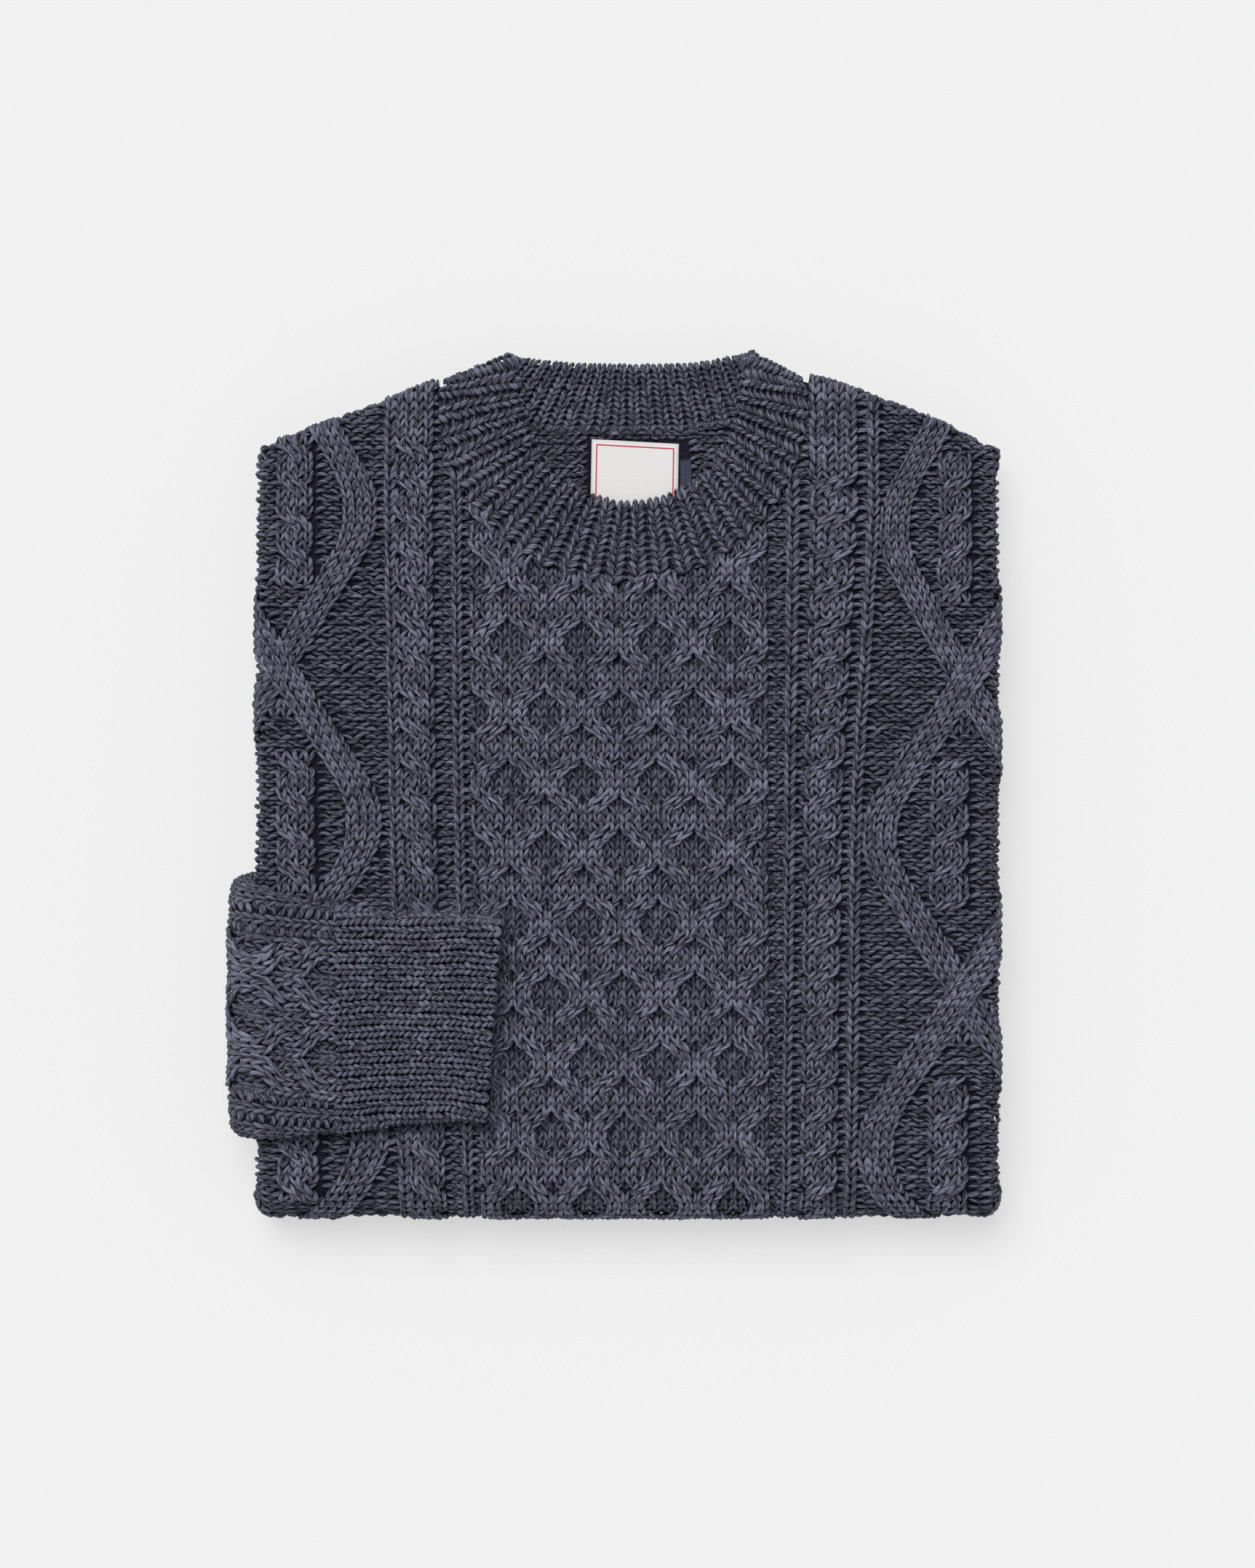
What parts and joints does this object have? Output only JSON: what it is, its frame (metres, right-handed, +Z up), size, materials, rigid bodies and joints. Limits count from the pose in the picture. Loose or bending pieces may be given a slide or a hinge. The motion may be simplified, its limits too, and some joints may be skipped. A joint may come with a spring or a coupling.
{
  "type": "folded aran sweater",
  "caption": "Cable-knit crew-neck sweater folded flat, with its left sleeve laid back over the front.",
  "frame": {"origin": "on the surface under the middle of the folded sweater's bounding box", "axes": "+X across the sweater to the viewer's right, +Y from the bottom fold to the neck, +Z up from the surface"},
  "size_m": [0.3814, 0.4322, 0.061],
  "materials": {
    "cable_knit": "marled wool yarn, cable knit",
    "plain_knit": "marled wool yarn, plain knit",
    "rib_knit": "marled wool yarn, one by one rib",
    "label_cloth": "white woven satin",
    "tape_cloth": "navy woven tape"
  },
  "bodies": {
    "root": {"front_panel": "cable_knit", "back_panel": "plain_knit", "hidden_layers": "plain_knit", "neckband": "rib_knit", "label": "label_cloth", "label_tape": "tape_cloth", "sleeve_left": "cable_knit", "cuff_left": "rib_knit"}
  },
  "joints": []
}
